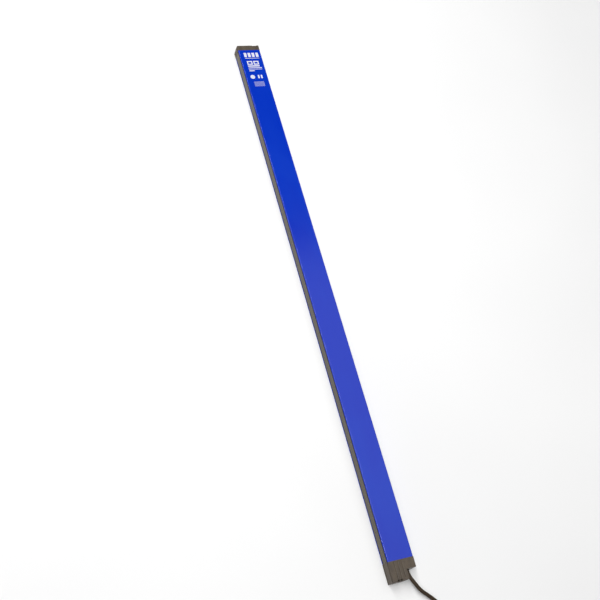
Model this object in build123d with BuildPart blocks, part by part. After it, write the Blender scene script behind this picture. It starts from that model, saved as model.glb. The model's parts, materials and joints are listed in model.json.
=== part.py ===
from build123d import *
import math
import os

# Area sensor bar, in millimetres. The bar lies on its wide side with the printed face up.
# +X runs along the bar from the cable end to the far end, +Y points out of the window, +Z is up.
# The origin is under the middle of the bar, on the surface that it lies on.

# Overall sizes of the bar and its two end caps
BAR_LENGTH = 862.0
BAR_WIDTH = 37.0
BAR_DEPTH = 20.0
FAR_CAP_LENGTH = 9.8
CABLE_CAP_LENGTH = 26.0
NOTCH_LENGTH = 12.5
NOTCH_WIDTH = 13.3
NOTCH_DRAFT = 0.2
ARRIS = 0.8

# Extruded housing: rounded edges, walls, back slot, web, screw ports and guide ribs
HOUSING_ROUND = 1.6
WALL = 1.6
SLOT_MOUTH = 5.4
SLOT_LIP = 1.5
SLOT_WIDTH = 8.4
SLOT_POCKET = 3.0
WEB = 1.4
PORT_RADIUS = 2.6
PORT_BORE = 1.25
PORT_STANDOFF = 1.7
PORT_SINK = 0.5
RIB = 0.8
BOARD_RIB = 1.0
BOARD_RIB_HEIGHT = 1.2

# Front window, the seam along each side of it, and its seals
SEAM_EDGE = 1.0
SEAM_WIDTH = 2.4
SEAM_DEPTH = 0.9
LIP_FACE = 0.7
PANE_EDGE = 0.9
WINDOW_SINK = 0.2
SEAL_FLAP = 0.4
SEAL_NECK = 0.6
SEAL_LEG = 0.5
SEAL_FLOOR = 0.6
SEAL_HEIGHT = 2.1

# End caps: spigots, gaskets, grooves, flutes and the far cap's end recess
SPIGOT_LENGTH = 4.0
SPIGOT_WALL = 1.1
SPIGOT_BACK_WALL = 4.1
SPIGOT_FRONT_WALL = 1.1
PORT_CLEARANCE = 0.4
FIT_CLEARANCE = 0.1
GASKET = 0.8
GASKET_INSET = 0.6
CAP_GROOVE_DEPTH = 2.4
FLUTE_COUNT = 3
FLUTE_PITCH = 5.3
FLUTE_WIDTH = 2.6
FLUTE_DEPTH = 0.6
FLUTE_MIDDLE = 13.9
FLUTE_END = 3.5
FLUTE_JOINT = 1.2
RECESS_DEPTH = 1.2
RECESS_WIDTH = 8.0

# Cap screws
SCREW_SHANK = 1.2
SCREW_HOLE = 1.5
HEAD_RADIUS = 2.25
HEAD_HEIGHT = 1.6
HEAD_CLEARANCE = 0.15
HEX_RADIUS = 1.2
HEX_DEPTH = 0.8
SCREW_GRIP = 8.0

# Optics: carriers, lens strips, receiver boards and what stands on them
MODULE_COUNT = 4
MODULE_GAP = 0.3
BEAM_PITCH = 20.0
CONTROL_ROOM = 20.5
PAD_LENGTH = 2.8
LENS_PLATE = 1.2
LENS_RADIUS = 5.5
LENS_SAG = 1.0
BOARD_ROOM = 8.9
CONE_MOUTH = 5.0
CONE_THROAT = 2.4
THROAT_LENGTH = 3.0
LIGHTENER_LENGTH = 6.0
LIGHTENER_HEIGHT = 10.0
LIGHTENER_FLOOR = 5.9
BOARD = 1.6
BOARD_CLEARANCE = 0.2
DIODE_SIZE = 4.4
DIODE_HEIGHT = 1.4
DIODE_DOME = 1.6
DIODE_SAG = 0.6
DIODE_CLEARANCE = 0.4
CHIPS_PER_BOARD = 5
CHIP_LENGTH = 6.0
CHIP_WIDTH = 5.0
CHIP_HEIGHT = 1.7
LINK_LENGTH = 12.0
LINK_WIDTH = 7.0
LINK_HEIGHT = 3.0
LINK_CHAMFER = 0.4
CHIP_CHAMFER = 0.2

# Control board in the cable end and its parts
SEAT_DROP = 1.8
LEDGE = 1.2
END_WALL = 3.0
BOARD_MARGIN = 0.5
CONTROL_GAP = 1.5
CONTROLLER_SIZE = 7.0
CONTROLLER_HEIGHT = 1.2
CONTROLLER_OFFSET = 6.0
CONTROLLER_MARGIN = 2.0
CAPACITOR_RADIUS = 3.0
CAPACITOR_CLEARANCE = 0.9
CAPACITOR_ROUND = 0.5
DRIVER_LENGTH = 6.0
DRIVER_WIDTH = 4.0
DRIVER_HEIGHT = 1.8
PART_GAP = 1.2
LAMP_GAP = 3.1
HEADER_LENGTH = 6.4
HEADER_WIDTH = 3.6
HEADER_HEIGHT = 4.5
RIBBON = 0.8
RIBBON_WIDTH = 5.0
RIBBON_LAP = 8.0
RIBBON_HEADER_LENGTH = 5.5
RIBBON_HEADER_WIDTH = 3.0
RIBBON_HEADER_HEIGHT = 5.6

# Indicators at the end edge of the cable cap
INDICATOR_COUNT = 2
INDICATOR_FIRST = 8.1
INDICATOR_PITCH = 4.1
INDICATOR_DROP = 4.8
PIPE_RADIUS = 1.2
PIPE_CLEARANCE = 0.05
PIPE_LENGTH = 3.8
PIPE_ROUND = 0.3
WELL_WIDTH = 3.0
WELL_DEPTH = 2.2
LAMP_LENGTH = 2.0
LAMP_WIDTH = 2.2

# Cable, its rubber bush, its tail and wires inside the cap
CABLE_RADIUS = 2.5
CABLE_OFFSET = 3.4
CABLE_ARC_SHARE = 0.45
BUSH_RADIUS = 2.9
BUSH_PROUD = 0.5
BUSH_CLEARANCE = 0.05
BUSH_CHAMFER = 0.2
TAIL_RADIUS_ROOM = 0.3
TAIL_END = 0.8
WIRE_ROOM = 6.7
WIRE_COUNT = 4
WIRE_RADIUS = 0.45
WIRE_PITCH = 1.1
WIRE_LEAD = 1.1
WIRE_TURN_PITCH = 1.3
WIRE_RISE = 0.9
WIRE_BEND = 0.8

# Plug on the end of the cable
PLUG_TAPER = 14.0
PLUG_TAIL_RADIUS = 3.9
PLUG_BODY_RADIUS = 5.6
PLUG_BODY_LENGTH = 26.0
PLUG_NECK_RADIUS = 4.4
PLUG_NECK_LENGTH = 10.0
PLUG_GROOVE = 0.6
PLUG_GROOVE_WIDTH = 1.2
PLUG_GROOVE_PITCH = 3.0
FERRULE_RADIUS = 7.25
FERRULE_GRIP = 10.0
FERRULE_THREAD_RADIUS = 5.9
FERRULE_THREAD = 9.5
KNURL_COUNT = 24
KNURL_DEPTH = 0.35
INSERT_LENGTH = 2.0
PIN_RADIUS = 0.5
PIN_LENGTH = 8.0
PIN_CIRCLE = 2.5
PIN_COUNT = 4
SEAL_RING = 1.2
SEAL_RING_RADIUS = 0.7

# Print on the face: plain bars, frames and a disc
PRINT = 0.12
PRINT_CORNER = 0.2
PRINT_STROKE = 1.9
PRINT_HEADING_BARS = 4
PRINT_HEADING_START = 15.4
PRINT_HEADING_EDGE = 7.5
PRINT_HEADING_PITCH = 6.6
PRINT_TABLE_LINES = 5
PRINT_TABLE_START = 73.7
PRINT_TABLE_PITCH = 1.95
PRINT_DISC_START = 63.7
PRINT_DISC_EDGE = 11.6
PRINT_DISC_RADIUS = 3.8

# Planes and levels that several pieces share
x_cable_end = -BAR_LENGTH / 2
x_far_end = BAR_LENGTH / 2
x_step = x_cable_end + NOTCH_LENGTH
x_housing_start = x_cable_end + CABLE_CAP_LENGTH
x_housing_end = x_far_end - FAR_CAP_LENGTH
y_window = BAR_WIDTH / 2
y_back = -BAR_WIDTH / 2
y_notch = y_back + NOTCH_WIDTH
y_pocket = y_back + SLOT_LIP + SLOT_POCKET
y_cavity = y_pocket + WEB
y_seam = y_window - SEAM_DEPTH
y_lip_face = y_seam - SEAL_FLAP
y_lip = y_lip_face - LIP_FACE
y_groove = y_lip - PANE_EDGE - 2 * SEAL_LEG
y_rib = y_groove - RIB
y_carrier = y_rib - LENS_PLATE
y_board_back = y_cavity + BOARD_ROOM
y_board = y_board_back + BOARD
carrier_depth = y_carrier - y_board
y_port = y_cavity + PORT_STANDOFF
z_middle = BAR_DEPTH / 2
z_roof = BAR_DEPTH - WALL
z_seat = z_middle - SEAT_DROP
z_indicator = BAR_DEPTH - INDICATOR_DROP
z_ports = (WALL + PORT_RADIUS - PORT_SINK, z_roof - PORT_RADIUS + PORT_SINK)
z_band = (SEAM_EDGE + SEAM_WIDTH, BAR_DEPTH - SEAM_EDGE - SEAM_WIDTH)
z_lips = (z_band[0] - SEAL_NECK, z_band[1] + SEAL_NECK)

# The T-slot is a narrow mouth and a wider pocket behind its lips, each as levels of y and z
slot_parts = (
    ((y_back - ARRIS, y_pocket), (z_middle - SLOT_MOUTH / 2, z_middle + SLOT_MOUTH / 2)),
    ((y_back + SLOT_LIP, y_pocket), (z_middle - SLOT_WIDTH / 2, z_middle + SLOT_WIDTH / 2)),
)

# The spigot of each cap fills the housing's cavity between the screw ports and the front ribs
spigot_y = (y_port + PORT_RADIUS + PORT_CLEARANCE, y_rib - FIT_CLEARANCE)
spigot_z = (WALL + FIT_CLEARANCE, z_roof - FIT_CLEARANCE)
chamber_y = (spigot_y[0] + SPIGOT_BACK_WALL, spigot_y[1] - SPIGOT_FRONT_WALL)
chamber_z = (spigot_z[0] + SPIGOT_WALL, spigot_z[1] - SPIGOT_WALL)

# The modules share the housing's length between the control board's room and the far cap's pad
x_module_start = x_housing_start + CONTROL_ROOM
x_pad_end = x_housing_end - SPIGOT_LENGTH
x_module_end = x_pad_end - PAD_LENGTH
module_length = (x_module_end - x_module_start) / MODULE_COUNT
beams_per_module = math.floor((module_length + MODULE_GAP) / BEAM_PITCH)

os.makedirs("parts", exist_ok=True)


def write(piece, name):
    """Labels a finished piece and writes it to its own file."""
    piece.part.label = name
    export_step(piece.part, f"parts/{name}.step")


def block(x, y, z, mode=Mode.ADD):
    """A box between two corners, each of x, y and z being a pair of levels."""
    with Locations(((x[0] + x[1]) / 2, (y[0] + y[1]) / 2, (z[0] + z[1]) / 2)):
        Box(x[1] - x[0], y[1] - y[0], z[1] - z[0], mode=mode)


def rod(x, y, z, radius, mode=Mode.ADD):
    """A cylinder along X between two levels of x, centred on y and z."""
    with Locations(Location((x[0], y, z), (0, 90, 0))):
        Cylinder(radius, x[1] - x[0], align=(Align.CENTER, Align.CENTER, Align.MIN), mode=mode)


def patch(y, z, mode=Mode.ADD):
    """A rectangle of a cross-section between two levels of y and two of z."""
    with Locations(((y[0] + y[1]) / 2, (z[0] + z[1]) / 2)):
        Rectangle(y[1] - y[0], z[1] - z[0], mode=mode)


def bar_section():
    """The bar's outer cross-section: a rounded rectangle with the T-slot open along its back."""
    with Locations((0, z_middle)):
        RectangleRounded(BAR_WIDTH, BAR_DEPTH, HOUSING_ROUND)
    for slot_y, slot_z in slot_parts:
        patch(slot_y, slot_z, Mode.SUBTRACT)


def gasket_section():
    """The outline that a gasket fills: the bar's section, set in from every edge."""
    bar_section()
    offset(amount=-GASKET_INSET, kind=Kind.INTERSECTION)


def section_plane(x):
    """The plane of a cross-section at x, whose own axes are the bar's Y and Z."""
    return Plane(origin=(x, 0, 0), x_dir=(0, 1, 0), z_dir=(1, 0, 0))


def dome(x, y, z, radius, sag):
    """A shallow dome that stands on a face and looks along +Y."""
    ball = (radius**2 + sag**2) / (2 * sag)
    latitude = math.degrees(math.asin(1 - sag / ball))
    with Locations(Location((x, y, z), (-90, 0, 0))):
        Sphere(ball, arc_size1=latitude, align=(Align.CENTER, Align.CENTER, Align.MIN))


# Housing: an extruded aluminium channel, open towards the window
with BuildPart() as housing:
    with BuildSketch(section_plane(x_housing_start)):
        bar_section()
        patch((y_cavity, y_rib), (WALL, z_roof), Mode.SUBTRACT)
        patch((y_groove, y_lip), (WALL, z_roof), Mode.SUBTRACT)
        patch((y_rib, y_window + ARRIS), z_lips, Mode.SUBTRACT)
        patch((y_lip_face, y_window + ARRIS), (SEAM_EDGE, BAR_DEPTH - SEAM_EDGE), Mode.SUBTRACT)
        for z_port in z_ports:
            with Locations((y_port, z_port)):
                Circle(PORT_RADIUS)
        for rib in ((WALL, WALL + BOARD_RIB_HEIGHT), (z_roof - BOARD_RIB_HEIGHT, z_roof)):
            patch((y_board_back - BOARD_RIB, y_board_back), rib)
        for z_port in z_ports:
            with Locations((y_port, z_port)):
                Circle(PORT_BORE, mode=Mode.SUBTRACT)
    extrude(amount=x_housing_end - x_housing_start)
write(housing, "housing")

# Front window: a smoked band whose thin edges are held in both grooves of the housing
pane_y = (y_groove + SEAL_LEG, y_lip - SEAL_LEG)
pane_z = (WALL + SEAL_FLOOR, z_roof - SEAL_FLOOR)
band_y = (pane_y[0], y_window - WINDOW_SINK)
with BuildPart() as window:
    with BuildSketch(section_plane(x_housing_start)):
        patch(pane_y, pane_z)
        patch(band_y, z_band)
    extrude(amount=x_housing_end - x_housing_start)
write(window, "front_window")

# Window seals: a rubber channel round each edge of the pane, whose outer flap lines the seam
for seal_name, seal_z, neck_z, flap_z in (
    ("lower_window_seal", (WALL, WALL + SEAL_HEIGHT), (z_lips[0], z_band[0]), (SEAM_EDGE, z_band[0])),
    (
        "upper_window_seal",
        (z_roof - SEAL_HEIGHT, z_roof),
        (z_band[1], z_lips[1]),
        (z_band[1], BAR_DEPTH - SEAM_EDGE),
    ),
):
    with BuildPart() as seal:
        with BuildSketch(section_plane(x_housing_start)):
            patch((y_groove, y_lip), seal_z)
            patch((y_lip, y_lip_face), neck_z)
            patch((y_lip_face, y_seam), flap_z)
            patch(pane_y, pane_z, Mode.SUBTRACT)
            patch(band_y, z_band, Mode.SUBTRACT)
        extrude(amount=x_housing_end - x_housing_start)
    write(seal, seal_name)


def cap_blank(outline, sharp):
    """The outer form of a cap: its plan outline raised to the bar's depth, with rounded edges.

    The edges at the sharp places stay sharp: those at the joint, and any at a point of the plan."""
    with BuildSketch(Plane.XY) as plan:
        with BuildLine():
            Polyline(*outline, close=True)
        make_face()
    blank = extrude(plan.sketch, amount=BAR_DEPTH)
    fillet(blank.edges().filter_by(lambda edge: not sharp(edge.center())), ARRIS)


def cap_details(x_joint, inward, x_outer):
    """Cuts a cap's gasket seat, slot, side grooves and screw holes, and adds its spigot."""
    reach = sorted((x_joint, x_outer))
    with BuildSketch(section_plane(x_joint)) as seat:
        gasket_section()
    extrude(seat.sketch, amount=-inward * GASKET, mode=Mode.SUBTRACT)
    for slot_y, slot_z in slot_parts:
        block(reach, slot_y, slot_z, Mode.SUBTRACT)
    block(sorted((x_joint - inward * GASKET, x_joint + inward * SPIGOT_LENGTH)), spigot_y, spigot_z)
    rib_y = (y_board_back - BOARD_RIB - FIT_CLEARANCE, y_board_back + FIT_CLEARANCE)
    for z_rib in ((WALL, chamber_z[0] + FIT_CLEARANCE), (chamber_z[1] - FIT_CLEARANCE, z_roof)):
        block(sorted((x_joint, x_joint + inward * SPIGOT_LENGTH)), rib_y, z_rib, Mode.SUBTRACT)
    side = (y_window - CAP_GROOVE_DEPTH, y_window + CAP_GROOVE_DEPTH)
    for seam_z in ((SEAM_EDGE, z_band[0]), (z_band[1], BAR_DEPTH - SEAM_EDGE)):
        block(reach, side, seam_z, Mode.SUBTRACT)
    for z_port in z_ports:
        rod(reach, y_port, z_port, SCREW_HOLE, Mode.SUBTRACT)


# Cable cap: a hollow moulding with a notch at the back, where the cable comes out
y_cable = y_notch - CABLE_OFFSET
x_chamber = x_cable_end + END_WALL
x_tip = x_housing_start + SPIGOT_LENGTH
x_gland = x_housing_start - GASKET - WIRE_ROOM
tail_room = CABLE_RADIUS + TAIL_RADIUS_ROOM
y_indicators = [y_window - INDICATOR_FIRST - n * INDICATOR_PITCH for n in range(INDICATOR_COUNT)]
with BuildPart() as cable_cap:
    cap_blank(
        (
            (x_housing_start, y_back),
            (x_step, y_back),
            (x_step, y_notch),
            (x_cable_end, y_notch + NOTCH_DRAFT),
            (x_cable_end, y_window),
            (x_housing_start, y_window),
        ),
        lambda middle: middle.X > x_housing_start - ARRIS
        or abs(middle.X - x_step) + abs(middle.Y - y_notch) < FIT_CLEARANCE,
    )
    cap_details(x_housing_start, 1, x_cable_end)
    block((x_chamber, x_tip), chamber_y, (z_seat, chamber_z[1]), Mode.SUBTRACT)
    inner_y = (chamber_y[0] + LEDGE, chamber_y[1] - LEDGE)
    block((x_chamber, x_tip), inner_y, (chamber_z[0], z_seat), Mode.SUBTRACT)
    rod((x_step, x_gland), y_cable, z_middle, BUSH_RADIUS + BUSH_CLEARANCE, Mode.SUBTRACT)
    rod((x_gland, x_housing_start - GASKET), y_cable, z_middle, tail_room, Mode.SUBTRACT)
    wire_room = (z_middle - tail_room, z_middle + tail_room)
    block((x_gland, x_housing_start - GASKET), (y_cable, chamber_y[0]), wire_room, Mode.SUBTRACT)
    for z_port in z_ports:
        rod((x_step, x_step + HEAD_HEIGHT), y_port, z_port, HEAD_RADIUS + HEAD_CLEARANCE, Mode.SUBTRACT)
    for y_indicator in y_indicators:
        pipe_hole = PIPE_RADIUS + PIPE_CLEARANCE
        rod((x_cable_end, x_chamber), y_indicator, z_indicator, pipe_hole, Mode.SUBTRACT)
        well_y = (y_indicator - WELL_WIDTH / 2, y_indicator + WELL_WIDTH / 2)
        well_z = (z_indicator - WELL_WIDTH / 2, BAR_DEPTH)
        block((x_cable_end, x_cable_end + WELL_DEPTH), well_y, well_z, Mode.SUBTRACT)
    flute_radius = (FLUTE_WIDTH**2 / 4 + FLUTE_DEPTH**2) / (2 * FLUTE_DEPTH)
    for n in range(FLUTE_COUNT):
        y_flute = y_window - FLUTE_MIDDLE + (n - (FLUTE_COUNT - 1) / 2) * FLUTE_PITCH
        reach = (x_cable_end + FLUTE_END, x_housing_start - FLUTE_JOINT)
        rod(reach, y_flute, BAR_DEPTH - FLUTE_DEPTH + flute_radius, flute_radius, Mode.SUBTRACT)
write(cable_cap, "cable_cap")

# Far cap: a short moulding with a recess across its end for the screw heads
with BuildPart() as far_cap:
    cap_blank(
        (
            (x_housing_end, y_back),
            (x_far_end, y_back),
            (x_far_end, y_window),
            (x_housing_end, y_window),
        ),
        lambda middle: middle.X < x_housing_end + ARRIS,
    )
    cap_details(x_housing_end, -1, x_far_end)
    recess_y = (y_port - RECESS_WIDTH / 2, y_port + RECESS_WIDTH / 2)
    block((x_far_end - RECESS_DEPTH, x_far_end), recess_y, (0, BAR_DEPTH), Mode.SUBTRACT)
    block((x_housing_end - SPIGOT_LENGTH, x_housing_end), chamber_y, chamber_z, Mode.SUBTRACT)
    x_head = x_far_end - HEAD_HEIGHT - (RECESS_DEPTH - HEAD_CLEARANCE)
    for z_port in z_ports:
        rod((x_head, x_far_end), y_port, z_port, HEAD_RADIUS + HEAD_CLEARANCE, Mode.SUBTRACT)
write(far_cap, "far_cap")

# Gaskets: soft sheets in the seats of both caps, clamped against the housing's ends
for gasket_name, x_joint, outward in (
    ("cable_gasket", x_housing_start, -1),
    ("far_gasket", x_housing_end, 1),
):
    with BuildPart() as gasket:
        with BuildSketch(section_plane(x_joint)):
            gasket_section()
            hole_y = (spigot_y[0] - FIT_CLEARANCE, spigot_y[1] + FIT_CLEARANCE)
            patch(hole_y, (spigot_z[0] - FIT_CLEARANCE, spigot_z[1] + FIT_CLEARANCE), Mode.SUBTRACT)
            for z_port in z_ports:
                with Locations((y_port, z_port)):
                    Circle(SCREW_HOLE, mode=Mode.SUBTRACT)
        extrude(amount=outward * GASKET)
    write(gasket, gasket_name)

# Cap screws: two to a cap, each driven into a screw port of the housing
x_cable_head = x_step + HEAD_HEIGHT
for screws_name, x_seat, inward, x_joint in (
    ("cable_cap_screws", x_cable_head, 1, x_housing_start),
    ("far_cap_screws", x_head, -1, x_housing_end),
):
    with BuildPart() as screws:
        for z_port in z_ports:
            rod(sorted((x_seat, x_seat - inward * HEAD_HEIGHT)), y_port, z_port, HEAD_RADIUS)
            rod(sorted((x_seat, x_joint + inward * SCREW_GRIP)), y_port, z_port, SCREW_SHANK)
            x_top = x_seat - inward * HEAD_HEIGHT
            with BuildSketch(section_plane(x_top)):
                with Locations((y_port, z_port)):
                    RegularPolygon(HEX_RADIUS, 6)
            extrude(amount=inward * HEX_DEPTH, mode=Mode.SUBTRACT)
    write(screws, screws_name)

# Optics modules: carrier, lens strip, board, photodiodes and amplifier chips, four times over
carrier_z = (WALL, z_roof - BOARD_CLEARANCE)
board_z = (WALL + BOARD_CLEARANCE, z_roof - BOARD_CLEARANCE)
for module in range(MODULE_COUNT):
    x_start = x_module_start + module * module_length
    span = (x_start, x_start + module_length - MODULE_GAP)
    x_middle = (span[0] + span[1]) / 2
    x_beams = [x_middle + (n - (beams_per_module - 1) / 2) * BEAM_PITCH for n in range(beams_per_module)]
    beam_spots = [(x, y_carrier, z_middle) for x in x_beams]

    with BuildPart() as carrier:
        block(span, (y_board, y_carrier), carrier_z)
        for x in x_beams:
            cone_length = carrier_depth - THROAT_LENGTH
            with Locations(Location((x, y_carrier, z_middle), (90, 0, 0))):
                Cone(
                    CONE_MOUTH,
                    CONE_THROAT,
                    cone_length,
                    align=(Align.CENTER, Align.CENTER, Align.MIN),
                    mode=Mode.SUBTRACT,
                )
            with Locations(Location((x, y_board + THROAT_LENGTH, z_middle), (90, 0, 0))):
                Cylinder(
                    CONE_THROAT,
                    THROAT_LENGTH,
                    align=(Align.CENTER, Align.CENTER, Align.MIN),
                    mode=Mode.SUBTRACT,
                )
            pocket = DIODE_SIZE / 2 + DIODE_CLEARANCE
            pocket_y = (y_board, y_board + DIODE_HEIGHT + DIODE_CLEARANCE)
            block((x - pocket, x + pocket), pocket_y, (z_middle - pocket, z_middle + pocket), Mode.SUBTRACT)
        for x in x_beams[1:]:
            x_web = x - BEAM_PITCH / 2
            light_x = (x_web - LIGHTENER_LENGTH / 2, x_web + LIGHTENER_LENGTH / 2)
            light_z = (z_middle - LIGHTENER_HEIGHT / 2, z_middle + LIGHTENER_HEIGHT / 2)
            block(light_x, (y_board, y_carrier - LIGHTENER_FLOOR), light_z, Mode.SUBTRACT)
    write(carrier, f"optics_carrier_{module + 1}")

    with BuildPart() as lenses:
        block(span, (y_carrier, y_rib), carrier_z)
        for x in x_beams:
            dome(x, y_rib, z_middle, LENS_RADIUS, LENS_SAG)
    write(lenses, f"lens_strip_{module + 1}")

    with BuildPart() as board:
        block(span, (y_board_back, y_board), board_z)
    write(board, f"receiver_board_{module + 1}")

    with BuildPart() as diodes:
        for x in x_beams:
            half = DIODE_SIZE / 2
            y_face = y_board + DIODE_HEIGHT
            block((x - half, x + half), (y_board, y_face), (z_middle - half, z_middle + half))
            dome(x, y_face, z_middle, DIODE_DOME, DIODE_SAG)
    write(diodes, f"photodiodes_{module + 1}")

    with BuildPart() as chips:
        for n in range(CHIPS_PER_BOARD):
            x = x_middle + (n - (CHIPS_PER_BOARD - 1) / 2) * module_length / CHIPS_PER_BOARD
            chip_x = (x - CHIP_LENGTH / 2, x + CHIP_LENGTH / 2)
            chip_z = (z_middle - CHIP_WIDTH / 2, z_middle + CHIP_WIDTH / 2)
            block(chip_x, (y_board_back - CHIP_HEIGHT, y_board_back), chip_z)
    write(chips, f"amplifier_chips_{module + 1}")

# Board links: plug and socket blocks that bridge the joints between the receiver boards
for joint in range(1, MODULE_COUNT):
    x_link = x_module_start + joint * module_length - MODULE_GAP / 2
    link_z = (z_middle - LINK_WIDTH / 2, z_middle + LINK_WIDTH / 2)
    with BuildPart() as link:
        link_x = (x_link - LINK_LENGTH / 2, x_link + LINK_LENGTH / 2)
        block(link_x, (y_board_back - LINK_HEIGHT, y_board_back), link_z)
        chamfer(link.edges().group_by(Axis.Y)[0], LINK_CHAMFER)
    write(link, f"board_link_{joint}")

# Foam pad: takes up the play between the last carrier and the far cap's spigot
with BuildPart() as pad:
    block((x_module_end - MODULE_GAP, x_pad_end), (y_board, y_carrier), carrier_z)
write(pad, "end_pad")

# Control board: lies on the ledges of the cable cap and reaches into the housing
z_board_top = z_seat + BOARD
control_y = (chamber_y[0] + FIT_CLEARANCE, chamber_y[1] - FIT_CLEARANCE)
x_control_end = x_module_start - CONTROL_GAP
with BuildPart() as control_board:
    block((x_chamber + BOARD_MARGIN, x_control_end), control_y, (z_seat, z_board_top))
write(control_board, "control_board")

# Controller chip: a flat square package in the housing's end
x_controller = x_tip + CONTROLLER_OFFSET
y_controller = control_y[1] - CONTROLLER_MARGIN - CONTROLLER_SIZE / 2
with BuildPart() as controller:
    with Locations((x_controller, y_controller, z_board_top + CONTROLLER_HEIGHT / 2)):
        Box(CONTROLLER_SIZE, CONTROLLER_SIZE, CONTROLLER_HEIGHT)
    chamfer(controller.edges().group_by(Axis.Z)[-1], CHIP_CHAMFER)
write(controller, "controller_chip")

# Output driver and storage capacitor: stand on the board inside the cap
x_pipe = x_cable_end + WELL_DEPTH
x_lamp = x_pipe + PIPE_LENGTH
x_capacitor = x_lamp + LAMP_LENGTH + LAMP_GAP + CAPACITOR_RADIUS
x_driver = x_capacitor + CAPACITOR_RADIUS + PART_GAP + DRIVER_LENGTH / 2
y_driver = control_y[1] - CONTROLLER_MARGIN - DRIVER_WIDTH / 2
with BuildPart() as driver:
    with Locations((x_driver, y_driver, z_board_top + DRIVER_HEIGHT / 2)):
        Box(DRIVER_LENGTH, DRIVER_WIDTH, DRIVER_HEIGHT)
    chamfer(driver.edges().group_by(Axis.Z)[-1], CHIP_CHAMFER)
write(driver, "output_driver")

capacitor_length = chamber_z[1] - CAPACITOR_CLEARANCE - z_board_top
with BuildPart() as capacitor:
    with Locations((x_capacitor, y_driver - PART_GAP, z_board_top)):
        Cylinder(CAPACITOR_RADIUS, capacitor_length, align=(Align.CENTER, Align.CENTER, Align.MIN))
    fillet(capacitor.edges().group_by(Axis.Z)[-1], CAPACITOR_ROUND)
write(capacitor, "storage_capacitor")

# Indicator lamps and light pipes: each pipe carries its lamp's light to a well at the end edge
for n, y_indicator in enumerate(y_indicators):
    with BuildPart() as pipe:
        rod((x_pipe, x_lamp), y_indicator, z_indicator, PIPE_RADIUS)
        fillet(pipe.edges().sort_by(Axis.X)[0], PIPE_ROUND)
    write(pipe, f"light_pipe_{n + 1}")
    with BuildPart() as lamp:
        lamp_y = (y_indicator - LAMP_WIDTH / 2, y_indicator + LAMP_WIDTH / 2)
        block((x_lamp, x_lamp + LAMP_LENGTH), lamp_y, (z_board_top, z_indicator + PIPE_RADIUS))
    write(lamp, f"indicator_lamp_{n + 1}")

# Ribbon and its header: join the control board to the back of the first receiver board
ribbon_y = (y_board_back - RIBBON, y_board_back)
x_ribbon_header = x_control_end - RIBBON_HEADER_LENGTH
z_ribbon = z_board_top + RIBBON_HEADER_HEIGHT / 2
with BuildPart() as ribbon_header:
    header_y = (y_board_back, y_board_back + RIBBON_HEADER_WIDTH)
    block((x_ribbon_header, x_control_end), header_y, (z_board_top, z_board_top + RIBBON_HEADER_HEIGHT))
write(ribbon_header, "ribbon_header")
with BuildPart() as ribbon:
    ribbon_z = (z_ribbon - RIBBON_WIDTH / 2, z_ribbon + RIBBON_WIDTH / 2)
    block((x_ribbon_header, x_module_start + RIBBON_LAP), ribbon_y, ribbon_z)
write(ribbon, "ribbon")

# Cable bush: a rubber sleeve that seals the cable in the step of the cap
with BuildPart() as bush:
    rod((x_step - BUSH_PROUD, x_gland), y_cable, z_middle, BUSH_RADIUS)
    chamfer(bush.edges().sort_by(Axis.X)[0], BUSH_CHAMFER)
    rod((x_step - BUSH_PROUD, x_gland), y_cable, z_middle, CABLE_RADIUS + BUSH_CLEARANCE, Mode.SUBTRACT)
write(bush, "cable_bush")

# Cable tail: the end of the cable's sheath inside the bush
x_exit = x_step - BUSH_PROUD
x_tail = x_gland + TAIL_END
with BuildPart() as tail:
    rod((x_exit, x_tail), y_cable, z_middle, CABLE_RADIUS)
write(tail, "cable_tail")

# Wires: leave the tail side by side and turn across to the wire header, the nearest one first
z_wire = z_middle + WIRE_RISE
x_turns = [x_tail + WIRE_LEAD + n * WIRE_TURN_PITCH for n in range(WIRE_COUNT)]
with BuildPart() as wires:
    for n, x_turn in enumerate(x_turns):
        y_wire = y_cable + ((WIRE_COUNT - 1) / 2 - n) * WIRE_PITCH
        with BuildLine() as wire_path:
            FilletPolyline(
                (x_tail, y_wire, z_wire),
                (x_turn, y_wire, z_wire),
                (x_turn, control_y[0], z_wire),
                radius=WIRE_BEND,
            )
        with BuildSketch(section_plane(x_tail)):
            with Locations((y_wire, z_wire)):
                Circle(WIRE_RADIUS)
        sweep(path=wire_path.line)
write(wires, "cable_wires")

# Wire header: the connector block on the board's edge that takes the wires
x_header = (x_turns[0] + x_turns[-1]) / 2
with BuildPart() as wire_header:
    header_x = (x_header - HEADER_LENGTH / 2, x_header + HEADER_LENGTH / 2)
    header_y = (control_y[0], control_y[0] + HEADER_WIDTH)
    block(header_x, header_y, (z_board_top, z_board_top + HEADER_HEIGHT))
write(wire_header, "wire_header")

# Cable: straight out of the bush, down to the floor, and round in a loose loop to its plug.
# The points after the first are chosen by hand.
CABLE_ROUTE = [
    (x_exit, y_cable, z_middle),
    (-426.0, -8.6, 10.0),
    (-436.5, -11.6, 9.6),
    (-447.5, -18.4, 8.2),
    (-457.8, -32.0, 5.6),
    (-469.3, -42.0, 3.2),
    (-482.2, -59.1, 2.5),
    (-497.0, -74.5, 2.5),
    (-519.0, -79.0, 2.5),
    (-540.5, -72.0, 2.5),
    (-555.0, -54.5, 2.5),
    (-557.5, -33.0, 2.5),
    (-548.5, -15.5, 4.4),
    (-531.5, -6.7, 7.25),
    (-514.0, -5.5, 7.25),
]
corners = [Vector(*point) for point in CABLE_ROUTE]
runs = [after - before for before, after in zip(corners, corners[1:])]
arc_radii = []
for before, after in zip(runs, runs[1:]):
    half_turn = math.radians(before.get_angle(after) / 2)
    arc_radii.append(CABLE_ARC_SHARE * min(before.length, after.length) / math.tan(half_turn))
print("cable arc radii", [round(radius, 1) for radius in arc_radii])
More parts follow.
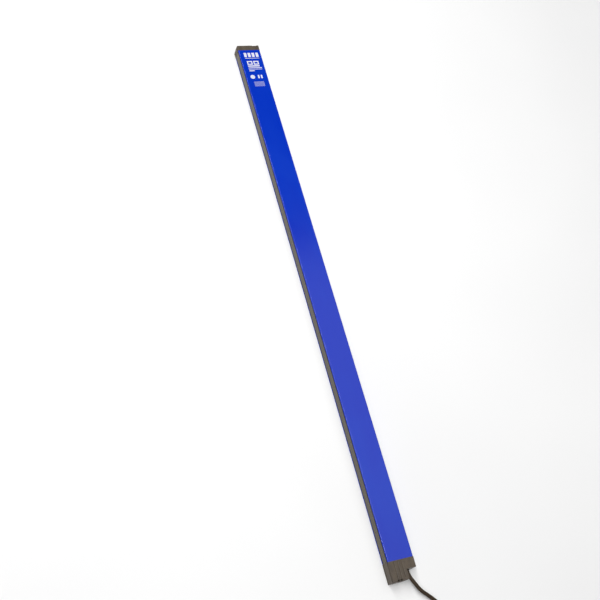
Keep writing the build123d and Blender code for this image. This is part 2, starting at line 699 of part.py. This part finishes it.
with BuildPart() as cable:
    with BuildLine() as cable_path:
        FilletPolyline(*corners, radius=arc_radii)
    with BuildSketch(Plane(origin=corners[0], z_dir=runs[0])):
        Circle(CABLE_RADIUS)
    sweep(path=cable_path.line)
write(cable, "cable")
cable_length = sum(edge.length for edge in cable_path.line.edges())
print("cable length", cable_length, "volume", cable.part.volume, math.pi * CABLE_RADIUS**2 * cable_length)

# Plug: its pieces are revolved round the line of the cable's last run
plug_axis = runs[-1].normalized()
plug_start = corners[-1]


def plug_plane(distance):
    """The plane across the plug's axis at a distance from the cable's end."""
    return Plane(origin=plug_start + plug_axis * distance, z_dir=plug_axis)


def plug_ring(start, end, outer, inner=0.0, mode=Mode.ADD):
    """A disc or ring of the plug between two distances along its axis."""
    with BuildSketch(plug_plane(start)) as ring:
        Circle(outer)
        if inner > 0:
            Circle(inner, mode=Mode.SUBTRACT)
    extrude(ring.sketch, amount=end - start, mode=mode)


open_end = PLUG_BODY_LENGTH + PLUG_NECK_LENGTH
with BuildPart() as plug_body:
    with BuildSketch(plug_plane(0)):
        Circle(PLUG_TAIL_RADIUS)
    with BuildSketch(plug_plane(PLUG_TAPER)):
        Circle(PLUG_BODY_RADIUS)
    loft()
    plug_ring(PLUG_TAPER, PLUG_BODY_LENGTH, PLUG_BODY_RADIUS)
    plug_ring(PLUG_BODY_LENGTH, open_end, PLUG_NECK_RADIUS)
    for n in range(1, int((PLUG_TAPER - PLUG_GROOVE_WIDTH) / PLUG_GROOVE_PITCH) + 1):
        share = n * PLUG_GROOVE_PITCH / PLUG_TAPER
        taper_radius = PLUG_TAIL_RADIUS + share * (PLUG_BODY_RADIUS - PLUG_TAIL_RADIUS)
        groove = (n * PLUG_GROOVE_PITCH, n * PLUG_GROOVE_PITCH + PLUG_GROOVE_WIDTH)
        plug_ring(*groove, PLUG_BODY_RADIUS + PLUG_GROOVE, taper_radius - PLUG_GROOVE, Mode.SUBTRACT)
write(plug_body, "plug_body")

# Threaded ferrule: a fixed metal shell with a knurled grip, moulded onto the plug
grip_start = PLUG_BODY_LENGTH
grip_end = grip_start + FERRULE_GRIP
ferrule_end = grip_end + FERRULE_THREAD
with BuildPart() as ferrule:
    plug_ring(grip_start, grip_end, FERRULE_RADIUS, PLUG_NECK_RADIUS)
    with BuildSketch(plug_plane(grip_start)):
        with PolarLocations(FERRULE_RADIUS, KNURL_COUNT):
            Circle(KNURL_DEPTH)
    extrude(amount=FERRULE_GRIP, mode=Mode.SUBTRACT)
    plug_ring(grip_end, ferrule_end, FERRULE_THREAD_RADIUS, PLUG_NECK_RADIUS)
write(ferrule, "plug_ferrule")

# Contact insert, its pins and the ring that seals against the mating connector
with BuildPart() as insert:
    plug_ring(open_end, open_end + INSERT_LENGTH, PLUG_NECK_RADIUS)
write(insert, "contact_insert")
with BuildPart() as pins:
    with BuildSketch(plug_plane(open_end + INSERT_LENGTH)):
        with PolarLocations(PIN_CIRCLE, PIN_COUNT):
            Circle(PIN_RADIUS)
    extrude(amount=PIN_LENGTH - INSERT_LENGTH)
write(pins, "contact_pins")
with BuildPart() as seal_ring:
    plug_ring(grip_end, grip_end + SEAL_RING, FERRULE_THREAD_RADIUS + SEAL_RING_RADIUS, FERRULE_THREAD_RADIUS)
write(seal_ring, "plug_seal_ring")

# Print: plain shapes where the real bar has its markings. Each bar and each frame is given by its
# distance from the far end, its distance from the window edge, and its length and width.
PRINT_BARS = {
    "print_heading": [
        (PRINT_HEADING_START, PRINT_HEADING_EDGE + n * PRINT_HEADING_PITCH, 8.6, 4.4)
        for n in range(PRINT_HEADING_BARS)
    ]
    + [(26.0, PRINT_HEADING_EDGE, 0.8, 24.4)],
    "print_lines": [
        (40.8, 9.0, 2.4, 19.6),
        (45.0, 9.0, 1.4, 22.5),
        (48.1, 9.0, 0.8, 22.5),
        (50.6, 9.0, 1.8, 8.6),
    ],
    "print_marks": [
        (60.2, 20.4, 6.6, 2.6),
        (60.2, 25.4, 6.6, 2.6),
    ],
    "print_table": [
        (PRINT_TABLE_START + n * PRINT_TABLE_PITCH, 11.2, 0.5, 16.8) for n in range(PRINT_TABLE_LINES)
    ],
}
PRINT_FRAMES = {"print_lines": [(32.0, 9.0, 7.4, 8.9), (32.0, 19.7, 7.4, 8.9)]}


def print_place(start, edge, length=0.0, width=0.0):
    """The middle of a printed shape on the face, from its distances and its own length and width."""
    return (x_far_end - start - length / 2, y_window - edge - width / 2)


for print_name, bars in PRINT_BARS.items():
    with BuildPart() as print_field:
        with BuildSketch(Plane.XY.offset(BAR_DEPTH)):
            for start, edge, length, width in bars:
                with Locations(print_place(start, edge, length, width)):
                    RectangleRounded(length, width, PRINT_CORNER)
            for start, edge, length, width in PRINT_FRAMES.get(print_name, []):
                with Locations(print_place(start, edge, length, width)):
                    Rectangle(length, width)
                    Rectangle(length - 2 * PRINT_STROKE, width - 2 * PRINT_STROKE, mode=Mode.SUBTRACT)
            if print_name == "print_marks":
                with Locations(print_place(PRINT_DISC_START, PRINT_DISC_EDGE)):
                    Circle(PRINT_DISC_RADIUS)
        extrude(amount=PRINT)
    write(print_field, print_name)
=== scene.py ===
import json
import math

import bmesh
import bpy
import numpy as np
from mathutils import Matrix, Vector


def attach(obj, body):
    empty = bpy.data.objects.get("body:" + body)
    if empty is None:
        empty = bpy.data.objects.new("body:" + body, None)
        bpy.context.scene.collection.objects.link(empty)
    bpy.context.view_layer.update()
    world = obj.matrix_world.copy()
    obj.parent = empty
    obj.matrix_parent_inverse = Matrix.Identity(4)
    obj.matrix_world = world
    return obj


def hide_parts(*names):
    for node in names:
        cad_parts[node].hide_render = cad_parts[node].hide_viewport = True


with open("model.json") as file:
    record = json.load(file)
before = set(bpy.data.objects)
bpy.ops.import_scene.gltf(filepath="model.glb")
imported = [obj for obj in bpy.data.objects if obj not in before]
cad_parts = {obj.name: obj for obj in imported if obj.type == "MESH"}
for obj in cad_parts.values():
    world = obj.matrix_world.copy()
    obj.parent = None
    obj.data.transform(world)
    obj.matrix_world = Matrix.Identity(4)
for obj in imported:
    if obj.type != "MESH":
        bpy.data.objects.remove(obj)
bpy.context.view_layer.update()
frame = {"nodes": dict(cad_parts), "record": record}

# The bar lies along X with its cable end at -X. Its window looks along +Y and its printed face looks up.
MM = 0.001

# The camera looks down on the bar from the window's side, near the cable end. Its lens and sensor are in mm
CAMERA_PLACE = Vector((-0.5187, 0.4918, 1.1374))
CAMERA_AIM = Vector((0.37638, -0.35074, -0.85751))
PICTURE_UP = Vector((0.89054, -0.11828, 0.43926))
LENS = 55.03
SENSOR = 36.0

# Cable: its size, its smoothness round the section and along a run, and its route's points, from the
# bush of the cable cap to the plug
CABLE_DIAMETER = 5.0 * MM
CABLE_SECTION_STEPS = 8
CABLE_RUN_STEPS = 16
CABLE_ROUTE = [
    (-0.4190, -0.0086, 0.0100),
    (-0.4260, -0.0086, 0.0100),
    (-0.4365, -0.0139, 0.0096),
    (-0.4475, -0.0198, 0.0082),
    (-0.4578, -0.0318, 0.0056),
    (-0.4693, -0.0420, 0.0032),
    (-0.4822, -0.0591, 0.0025),
    (-0.4970, -0.0745, 0.0025),
    (-0.5190, -0.0790, 0.0025),
    (-0.5405, -0.0720, 0.0025),
    (-0.5550, -0.0545, 0.0025),
    (-0.5575, -0.0330, 0.0025),
    (-0.5485, -0.0155, 0.0044),
    (-0.5315, -0.0067, 0.00725),
    (-0.5140, -0.0055, 0.00725),
]

# The plug's axis is the line of the cable's last run. Its side is level, and its top is square to both
PLUG_START = Vector(CABLE_ROUTE[-1])
PLUG_AXIS = (PLUG_START - Vector(CABLE_ROUTE[-2])).normalized()
PLUG_SIDE = Vector((0, 0, 1)).cross(PLUG_AXIS).normalized()
PLUG_TOP = PLUG_AXIS.cross(PLUG_SIDE)

# Plug: the ends of its pieces, as distances from the cable's end along the axis
BODY_TAPER_END = 14.0 * MM
BODY_END = 26.0 * MM
NECK_END = 36.0 * MM
INSERT_END = 38.0 * MM
PIN_END = 44.0 * MM
FERRULE_END = 45.5 * MM
BODY_STEP = 0.15 * MM
EDGE = 0.3 * MM

# Plug: the radii of its body and ferrule, and what is cut into them
TAIL_RADIUS = 3.9 * MM
BODY_RADIUS = 5.6 * MM
NECK_RADIUS = 4.4 * MM
RELIEF_PITCH = 3.0 * MM
RELIEF_WIDTH = 1.2 * MM
RELIEF_DEPTH = 0.6 * MM
GRIP_RIBS = 12
GRIP_RIB_DEPTH = 0.35 * MM
FERRULE_RADIUS = 7.25 * MM
KNURL_COUNT = 24
KNURL_DEPTH = 0.35 * MM
STEPS_A_KNURL = 10
THREAD_RADIUS = 5.9 * MM
THREAD_DEPTH = 0.55 * MM
THREAD_PITCH = 1.0 * MM
STEPS_A_THREAD = 12

# Plug: its seal ring, its pins and the smoothness of round pieces
RING_LENGTH = 1.2 * MM
RING_HEIGHT = 0.7 * MM
RING_SECTION_POINTS = 25
PIN_COUNT = 4
PIN_CIRCLE = 2.5 * MM
PIN_RADIUS = 0.5 * MM
PIN_TURN_STEPS = 24
PIN_NOSE_POINTS = 8
TURN_STEPS = 96
MERGE_DISTANCE = 0.001 * MM
SHARP = math.radians(35)

# The Mix node's colour sockets share their names with its number sockets, so they are taken by their places
MIX_FIRST = 6
MIX_SECOND = 7
MIX_RESULT = 2

# How far the roughness of an even finish swings each way
ROUGHNESS_SWING = 0.04

# Floor and light: the floor's reach, each panel's place, size and radiance, the sun's strength, width and
# direction, and the sky's strengths with the heights that it fades between
FLOOR_REACH = 4.0
PANELS = {
    "near_panel": ((-0.01, -0.43, 1.5), (1.66, 1.46), 1.05),
    "top_panel": ((0.9, 0.68, 1.9), (2.6, 0.42), 11.0),
}
SUN_STRENGTH = 1.4
SUN_ANGLE = math.radians(50)
SUN_DIRECTION = (-0.3, 0.25, 0.92)
HORIZON_STRENGTH = 0.8
SKY_STRENGTH = 0.02
SKY_FADE = (0.05, 0.35)


def put(name, data):
    """A new object in the scene, at the origin."""
    made = bpy.data.objects.new(name, data)
    bpy.context.scene.collection.objects.link(made)
    return made


def make_camera():
    """The camera at the viewing angle that shows the printed face and the window's side."""
    lens = bpy.data.cameras.new("camera")
    lens.lens = LENS
    lens.sensor_width = SENSOR
    camera = put("camera", lens)
    backward = -CAMERA_AIM.normalized()
    right = PICTURE_UP.cross(backward).normalized()
    up = backward.cross(right)
    turn = Matrix((right, up, backward)).transposed().to_4x4()
    camera.matrix_world = Matrix.Translation(CAMERA_PLACE) @ turn
    bpy.context.scene.camera = camera


def make_cable():
    """The cable's sheath: a round section carried along a smooth curve through the route's control points."""
    line = bpy.data.curves.new("cable_sheath", "CURVE")
    line.dimensions = "3D"
    line.bevel_depth = CABLE_DIAMETER / 2
    line.bevel_resolution = CABLE_SECTION_STEPS
    line.resolution_u = CABLE_RUN_STEPS
    line.use_fill_caps = True
    spline = line.splines.new("NURBS")
    spline.points.add(len(CABLE_ROUTE) - 1)
    for point, place in zip(spline.points, CABLE_ROUTE):
        point.co = (*place, 1.0)
    spline.order_u = 3
    spline.use_endpoint_u = True
    return put("cable_sheath", line)


def linear(colour):
    """A colour in linear light from its sRGB hex value."""
    channels = [int(colour[i : i + 2], 16) / 255 for i in (1, 3, 5)]
    return [c / 12.92 if c <= 0.04045 else ((c + 0.055) / 1.055) ** 2.4 for c in channels] + [1.0]


def add(tree, kind, inputs=None, **settings):
    """Adds a node. Settings go to its properties. Its inputs are given by their names or places, and each is
    a value, a hex colour, or the output that it is linked to."""
    made = tree.nodes.new("ShaderNode" + kind)
    for name, value in settings.items():
        setattr(made, name, value)
    for socket, value in (inputs or {}).items():
        if isinstance(value, bpy.types.NodeSocket):
            tree.links.new(value, made.inputs[socket])
        else:
            made.inputs[socket].default_value = linear(value) if isinstance(value, str) else value
    return made


def per(size):
    """The scale of a pattern whose features are this many millimetres across."""
    return 1 / (size * MM)


def new_material(name):
    """A new empty material, its node tree and the Object coordinates that its patterns read."""
    material = bpy.data.materials.new(name)
    material.use_nodes = True
    tree = material.node_tree
    tree.nodes.clear()
    return material, tree, add(tree, "TexCoord").outputs["Object"]


def shade(tree, inputs):
    """The material's shader with these inputs, and its output."""
    shader = add(tree, "BsdfPrincipled", inputs)
    add(tree, "OutputMaterial", {"Surface": shader.outputs["BSDF"]})


def blotches(tree, place, size, detail, along):
    """Soft random blotches of a size in millimetres, drawn out along the bar by a factor."""
    if along != 1:
        place = add(tree, "Mapping", {"Vector": place, "Scale": (1 / along, 1, 1)}).outputs["Vector"]
    return add(tree, "TexNoise", {"Vector": place, "Scale": per(size), "Detail": detail}).outputs["Fac"]


def mottled(tree, place, first, second, size, start, full, most=1.0, detail=3.0, along=1):
    """The first colour with blotches of the second. The second's share is 0 where their noise is at the start
    value and below, and rises to the most at the full value. Returns the colour and the share."""
    noise = blotches(tree, place, size, detail, along)
    spread = {"Value": noise, "From Min": start, "From Max": full, "To Min": 0.0, "To Max": most}
    share = add(tree, "MapRange", spread).outputs["Result"]
    mix = {"Factor": share, MIX_FIRST: first, MIX_SECOND: second}
    return add(tree, "Mix", mix, data_type="RGBA").outputs[MIX_RESULT], share


def grained(tree, place, size, depth, detail=2.0, along=1, under=None):
    """A surface raised by blotches of a size and up to a depth in millimetres, over the relief under it."""
    raised = {"Height": blotches(tree, place, size, detail, along), "Strength": 1.0, "Distance": depth * MM}
    if under is not None:
        raised["Normal"] = under
    return add(tree, "Bump", raised).outputs["Normal"]


def satin_blue_coat():
    """Satin blue coat on extruded aluminium: deep even blue, faint die lines along the bar, a slight orange
    peel, soft hazy patches where it was handled, and a soft wide highlight. The lines are drawn coarser than
    real ones, so that they show."""
    material, tree, place = new_material("satin_blue_coat")
    hazy, haze = mottled(tree, place, "#002aac", "#0332b0", size=55, start=0.42, full=0.68, along=2.2)
    colour, _ = mottled(tree, place, hazy, "#0636c0", size=1.2, start=0.3, full=0.7, most=0.1)
    roughness = add(tree, "MapRange", {"Value": haze, "To Min": 0.19, "To Max": 0.23}).outputs["Result"]
    lines = grained(tree, place, size=0.7, depth=0.008, along=120)
    normal = grained(tree, place, size=0.9, depth=0.005, detail=1.0, under=lines)
    shade(tree, {"Base Color": colour, "Roughness": roughness, "IOR": 1.5, "Normal": normal})
    return material


def moulded_nylon():
    """Moulded glass-filled nylon, warm dark grey: matt, with a fine spark-eroded grain and pale fibre flecks.
    Both are drawn coarser than real ones, so that they show."""
    material, tree, place = new_material("moulded_nylon")
    base, cloud = mottled(tree, place, "#41372c", "#514638", size=5, start=0.35, full=0.65, along=3)
    colour, _ = mottled(tree, place, base, "#766a5c", size=0.7, start=0.55, full=0.75, most=0.5)
    roughness = add(tree, "MapRange", {"Value": cloud, "To Min": 0.5, "To Max": 0.62}).outputs["Result"]
    normal = grained(tree, place, size=0.35, depth=0.03)
    shade(tree, {"Base Color": colour, "Roughness": roughness, "IOR": 1.53, "Normal": normal})
    return material


def smoked_acrylic():
    """Smoked acrylic: dark olive brown, with a thin film of dust that dulls its gloss in long patches."""
    material, tree, place = new_material("smoked_acrylic")
    colour, dust = mottled(
        tree, place, "#3d3522", "#4d432d", size=9, start=0.4, full=0.7, detail=4.0, along=4
    )
    roughness = add(tree, "MapRange", {"Value": dust, "To Min": 0.18, "To Max": 0.34}).outputs["Result"]
    shade(tree, {"Base Color": colour, "Roughness": roughness, "IOR": 1.49, "Specular IOR Level": 0.3})
    return material


def even(name, dark, light, size, roughness, depth, more=None):
    """An even finish: two close colours in soft blotches of a size, a roughness that swings a little with
    them, and a relief of a depth, with a grain a quarter as large as a blotch. Sizes are in millimetres. More
    holds what else the shader is given, such as Metallic."""
    material, tree, place = new_material(name)
    colour, share = mottled(tree, place, dark, light, size=size, start=0.35, full=0.65)
    swing = {"Value": share, "To Min": roughness - ROUGHNESS_SWING, "To Max": roughness + ROUGHNESS_SWING}
    varied = add(tree, "MapRange", swing).outputs["Result"]
    normal = grained(tree, place, size=size / 4, depth=depth)
    shade(tree, {"Base Color": colour, "Roughness": varied, "Normal": normal, **(more or {})})
    return material


# The finish of each material slot. An even one has its name, two colours, blotch size, roughness and depth of
# relief, and a comment on what it gives the eye.
FINISHES = {
    "blue_aluminium": satin_blue_coat(),
    "cap_plastic": moulded_nylon(),
    "smoked_window": smoked_acrylic(),
    # Moulded rubber: near black and dead matt, with no highlight
    "black_rubber": even("moulded_rubber", "#0b0b0b", "#141413", 2.0, 0.85, 0.01, {"Specular IOR Level": 0}),
    # Closed-cell foam: charcoal, soft and finely pitted
    "foam": even("closed_cell_foam", "#2a2a2c", "#3c3c3f", 0.8, 0.9, 0.08),
    # Zinc plating on steel: a pale dull shine with cool and warm clouds
    "steel": even("zinc_plated_steel", "#b9bcc0", "#d2d2cf", 1.5, 0.32, 0.004, {"Metallic": 1.0}),
    # Moulded ABS: deep black and half matt, so that stray light dies in it
    "carrier_plastic": even("moulded_black_abs", "#0d0d0e", "#161618", 2.0, 0.5, 0.01),
    # Moulded acrylic: water clear and glossy
    "clear_lens": even(
        "clear_acrylic", "#e4e8ea", "#f2f4f5", 5.0, 0.08, 0.0, {"Transmission Weight": 1.0, "IOR": 1.49}
    ),
    # Solder mask on a board: dark green and half glossy
    "board_green": even("solder_mask", "#0b5a2c", "#117038", 3.0, 0.35, 0.01),
    # Moulded epoxy: charcoal and matt, like fine slate
    "chip_black": even("moulded_epoxy", "#19191b", "#242427", 0.8, 0.55, 0.005),
    # Moulded nylon with no dye: warm ivory with a waxy sheen
    "connector_ivory": even("moulded_ivory_nylon", "#d6ccb2", "#e2dac4", 1.5, 0.45, 0.005),
    # Extruded ribbon insulation: plain mid grey
    "ribbon_grey": even("ribbon_insulation", "#9a9a9e", "#abacb0", 1.0, 0.5, 0.01),
    # Drawn aluminium: bright pale metal with soft highlights
    "capacitor_can": even("drawn_aluminium", "#cfd0d2", "#e0e0e1", 0.8, 0.3, 0.003, {"Metallic": 1.0}),
    # Smoked polycarbonate, glossy: its almost black colour is partly its own smoky tint and partly painted
    # shade, so that its mouth looks like a dark well
    "light_pipe": even("smoked_polycarbonate_and_painted_shade", "#17130f", "#211c17", 2.0, 0.15, 0.0, {"IOR": 1.58}),
    # Cast resin of an unlit lamp: amber yellow and smooth
    "lamp": even("cast_resin", "#d8b94e", "#e6cc6c", 1.5, 0.25, 0.0),
    # Extruded PVC: black-brown and half matt, with a weak highlight along the cable
    "cable_sheath": even("pvc_sheath", "#2a1f12", "#382a19", 3.0, 0.5, 0.01, {"Specular IOR Level": 0.25}),
    # Extruded PVC of a thin wire: orange brown and smooth
    "wire_sheath": even("pvc_wire_insulation", "#8c4f22", "#a3632f", 1.0, 0.45, 0.003),
    # Moulded polyurethane: black and half matt
    "plug_plastic": even("moulded_polyurethane", "#141414", "#1e1d1c", 1.2, 0.5, 0.01),
    # Nickel plating on brass: warm bright silver with sharp highlights
    "nickel": even("nickel_plate", "#c9c4b8", "#d9d5cb", 1.0, 0.22, 0.002, {"Metallic": 1.0}),
    # Gold plating: a soft yellow shine
    "gold_pin": even("gold_plate", "#e2b95a", "#efcd7c", 0.8, 0.2, 0.001, {"Metallic": 1.0}),
    # Screen printed ink: thin flat white, cooled by the blue under it
    "white_print": even("screen_print_ink", "#c6c7d6", "#dadae4", 0.6, 0.5, 0.004),
}


def dress_frame():
    """Gives each node of the frame the finish of its material slot in the record."""
    for part in frame["record"]["subparts"]:
        piece = frame["nodes"][part["node"]]
        piece.data.materials.clear()
        piece.data.materials.append(FINISHES[part["material_slot"]])


def plug_piece(name, points, faces, slot, node):
    """A new piece of the plug from its points and faces, with its seams and poles closed. It rides on the
    bar, in its node's place."""
    data = bpy.data.meshes.new(name)
    data.from_pydata(points, [], faces)
    shell = bmesh.new()
    shell.from_mesh(data)
    bmesh.ops.remove_doubles(shell, verts=shell.verts, dist=MERGE_DISTANCE)
    bmesh.ops.dissolve_degenerate(shell, edges=shell.edges, dist=MERGE_DISTANCE)
    bmesh.ops.recalc_face_normals(shell, faces=shell.faces)
    shell.to_mesh(data)
    shell.free()
    data.materials.append(FINISHES[slot])
    data.shade_smooth()
    data.set_sharp_from_angle(angle=SHARP)
    piece = put(name, data)
    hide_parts(node)
    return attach(piece, "root")


def profile(corners, step):
    """Distances and radii of a straight-sided profile through its corners, each no further than the step from
    the one before."""
    corners = np.array(corners)
    along, radius = [corners[0, 0]], [corners[0, 1]]
    for before, after in zip(corners, corners[1:]):
        count = max(1, math.ceil(np.hypot(*(after - before)) / step))
        share = np.arange(1, count + 1) / count
        along.extend(before[0] + share * (after[0] - before[0]))
        radius.extend(before[1] + share * (after[1] - before[1]))
    return np.array(along), np.array(radius)


def angles(count):
    """That many angles, evenly round a full turn."""
    return np.arange(count) * math.tau / count


def band(along, start, end, fade):
    """A share that is 1 between start and end and falls to 0 at each of them over the fade."""
    return np.clip((along - start) / fade, 0, 1) * np.clip((end - along) / fade, 0, 1)


def turned(along, radius, turns, side_shift=0.0, top_shift=0.0):
    """A surface round the plug's axis: ring i stands at along[i] and has the radius radius[i, j] at the angle
    turns[j]. Its first and last rings are points on the axis, or the same ring. The shifts move it aside."""
    side = radius * np.cos(turns) + side_shift
    top = radius * np.sin(turns) + top_shift
    start, axis, across, up = (np.array(v) for v in (PLUG_START, PLUG_AXIS, PLUG_SIDE, PLUG_TOP))
    points = start + along[:, None, None] * axis + side[..., None] * across + top[..., None] * up
    rings, steps = radius.shape
    i, j = np.meshgrid(np.arange(rings - 1), np.arange(steps), indexing="ij")
    after = (j + 1) % steps
    faces = np.stack((i * steps + j, i * steps + after, (i + 1) * steps + after, (i + 1) * steps + j), -1)
    return points.reshape(-1, 3), faces.reshape(-1, 4)


def make_plug_body():
    """The moulded body: a taper with ring grooves that let it bend with the cable, then a grip whose radius
    dips by a cosine of the angle, and a neck inside the ferrule. A groove's depth falls off as e to the power
    of minus the fourth power of the distance from its middle, in half widths."""
    turns = angles(TURN_STEPS)
    corners = [
        (0, 0),
        (0, TAIL_RADIUS - EDGE),
        (EDGE, TAIL_RADIUS),
        (BODY_TAPER_END, BODY_RADIUS),
        (BODY_END - EDGE, BODY_RADIUS),
        (BODY_END, BODY_RADIUS - EDGE),
        (BODY_END, NECK_RADIUS),
        (NECK_END, NECK_RADIUS),
        (NECK_END, 0),
    ]
    along, radius = profile(corners, BODY_STEP)
    middles = np.arange(RELIEF_PITCH + RELIEF_WIDTH / 2, BODY_TAPER_END - RELIEF_WIDTH, RELIEF_PITCH)
    grooves = np.exp(-((2 * (along[:, None] - middles) / RELIEF_WIDTH) ** 4)).sum(1)
    outside = (radius > TAIL_RADIUS - 2 * EDGE) & (along < BODY_TAPER_END)
    radius = radius - RELIEF_DEPTH * grooves * outside
    dips = (1 - np.cos(GRIP_RIBS * turns)) / 2
    grip = band(along, BODY_TAPER_END + EDGE, BODY_END - 3 * EDGE, 2 * EDGE)
    surface = radius[:, None] - GRIP_RIB_DEPTH * grip[:, None] * dips
    return plug_piece("moulded_plug_body", *turned(along, surface, turns), "plug_plastic", "plug_body")


def make_ferrule():
    """The metal ferrule: a grip with straight grooves, each a bell curve across the angle, then a thread. Its
    depth is a triangle wave of the distance, in pitches, less the angle, in turns."""
    turns = angles(STEPS_A_KNURL * KNURL_COUNT)
    corners = [
        (BODY_END, NECK_RADIUS),
        (BODY_END, FERRULE_RADIUS - EDGE),
        (BODY_END + EDGE, FERRULE_RADIUS),
        (NECK_END - EDGE, FERRULE_RADIUS),
        (NECK_END, FERRULE_RADIUS - EDGE),
        (NECK_END, THREAD_RADIUS),
        (FERRULE_END - 2 * EDGE, THREAD_RADIUS),
        (FERRULE_END, THREAD_RADIUS - 2 * EDGE),
        (FERRULE_END, NECK_RADIUS),
    ]
    along, radius = profile(corners, THREAD_PITCH / STEPS_A_THREAD)
    along, radius = np.append(along, along[0]), np.append(radius, radius[0])
    off = (turns * KNURL_COUNT / math.tau + 0.5) % 1 - 0.5
    knurl = np.exp(-((off * math.tau * FERRULE_RADIUS / KNURL_COUNT / KNURL_DEPTH) ** 2))
    grip = (radius > FERRULE_RADIUS - EDGE / 2) & (along < NECK_END)
    phase = (along[:, None] / THREAD_PITCH - turns / math.tau) % 1
    cut = 1 - np.abs(2 * phase - 1)
    threaded = band(along, NECK_END + RING_LENGTH, FERRULE_END, THREAD_PITCH) * (radius > NECK_RADIUS + EDGE)
    surface = radius[:, None] - KNURL_DEPTH * grip[:, None] * knurl - THREAD_DEPTH * threaded[:, None] * cut
    return plug_piece("threaded_ferrule", *turned(along, surface, turns), "nickel", "plug_ferrule")


def make_pins():
    """The contact pins, evenly round the plug's axis: each a cylinder that ends in a quarter circle, turned
    round its own axis."""
    turns = angles(PIN_TURN_STEPS)
    nose = np.linspace(0, math.pi / 2, PIN_NOSE_POINTS)
    along = np.concatenate(([INSERT_END, INSERT_END], PIN_END - PIN_RADIUS + PIN_RADIUS * np.sin(nose)))
    radius = np.concatenate(([0, PIN_RADIUS], PIN_RADIUS * np.cos(nose)))
    surface = np.repeat(radius[:, None], len(turns), 1)
    points, faces = [], []
    for turn in angles(PIN_COUNT):
        shifts = PIN_CIRCLE * math.cos(turn), PIN_CIRCLE * math.sin(turn)
        pin_points, pin_faces = turned(along, surface, turns, *shifts)
        faces.append(pin_faces + len(pin_points) * len(points))
        points.append(pin_points)
    points, faces = np.concatenate(points), np.concatenate(faces)
    return plug_piece("rounded_pins", points, faces, "gold_pin", "contact_pins")


def make_seal_ring():
    """The seal ring: an ellipse carried round the axis at the foot of the thread."""
    turns = angles(TURN_STEPS)
    section = np.linspace(0, math.tau, RING_SECTION_POINTS)
    along = NECK_END + RING_LENGTH / 2 * (1 - np.cos(section))
    radius = THREAD_RADIUS + RING_HEIGHT / 2 * (1 + np.sin(section))
    surface = np.repeat(radius[:, None], len(turns), 1)
    return plug_piece("rubber_seal_ring", *turned(along, surface, turns), "black_rubber", "plug_seal_ring")


def make_floor():
    """A plain pale floor, matt as paper, with faint wide clouds in its tone."""
    corners = [(x * FLOOR_REACH, y * FLOOR_REACH, 0) for x, y in ((-1, -1), (1, -1), (1, 1), (-1, 1))]
    data = bpy.data.meshes.new("floor")
    data.from_pydata(corners, [], [(0, 1, 2, 3)])
    material, tree, place = new_material("pale_floor")
    colour, _ = mottled(tree, place, "#e9e9e9", "#ededed", size=400, start=0.3, full=0.7, detail=2.0)
    shade(tree, {"Base Color": colour, "Roughness": 0.9, "Specular IOR Level": 0.2})
    data.materials.append(material)
    put("floor", data)


def make_light():
    """Soft studio light: level panels that shine down, a wide soft sun, and a sky that is bright at the
    horizon only."""
    for name, (place, size, radiance) in PANELS.items():
        panel = bpy.data.lights.new(name, "AREA")
        panel.shape = "RECTANGLE"
        panel.size, panel.size_y = size
        # The power of an even flat lamp is pi times its radiance and its area
        panel.energy = radiance * math.pi * size[0] * size[1]
        put(name, panel).location = place

    sun = bpy.data.lights.new("soft_sun", "SUN")
    sun.energy = SUN_STRENGTH
    sun.angle = SUN_ANGLE
    put("soft_sun", sun).rotation_euler = (-Vector(SUN_DIRECTION)).to_track_quat("-Z", "Y").to_euler()

    world = bpy.data.worlds.new("studio")
    bpy.context.scene.world = world
    world.use_nodes = True
    tree = world.node_tree
    upward = add(tree, "SeparateXYZ", {"Vector": add(tree, "TexCoord").outputs["Generated"]}).outputs["Z"]
    fade = {
        "Value": upward,
        "From Min": SKY_FADE[0],
        "From Max": SKY_FADE[1],
        "To Min": HORIZON_STRENGTH,
        "To Max": SKY_STRENGTH,
    }
    background = tree.nodes["Background"]
    background.inputs["Color"].default_value = linear("#ffffff")
    tree.links.new(add(tree, "MapRange", fade).outputs["Result"], background.inputs["Strength"])
    bpy.context.scene.view_settings.view_transform = "Standard"


make_camera()
cable = make_cable()
cable.data.materials.append(FINISHES["cable_sheath"])
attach(cable, "root")
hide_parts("cable")
dress_frame()
plug_pieces = [make_plug_body(), make_ferrule(), make_pins(), make_seal_ring()]
make_floor()
make_light()
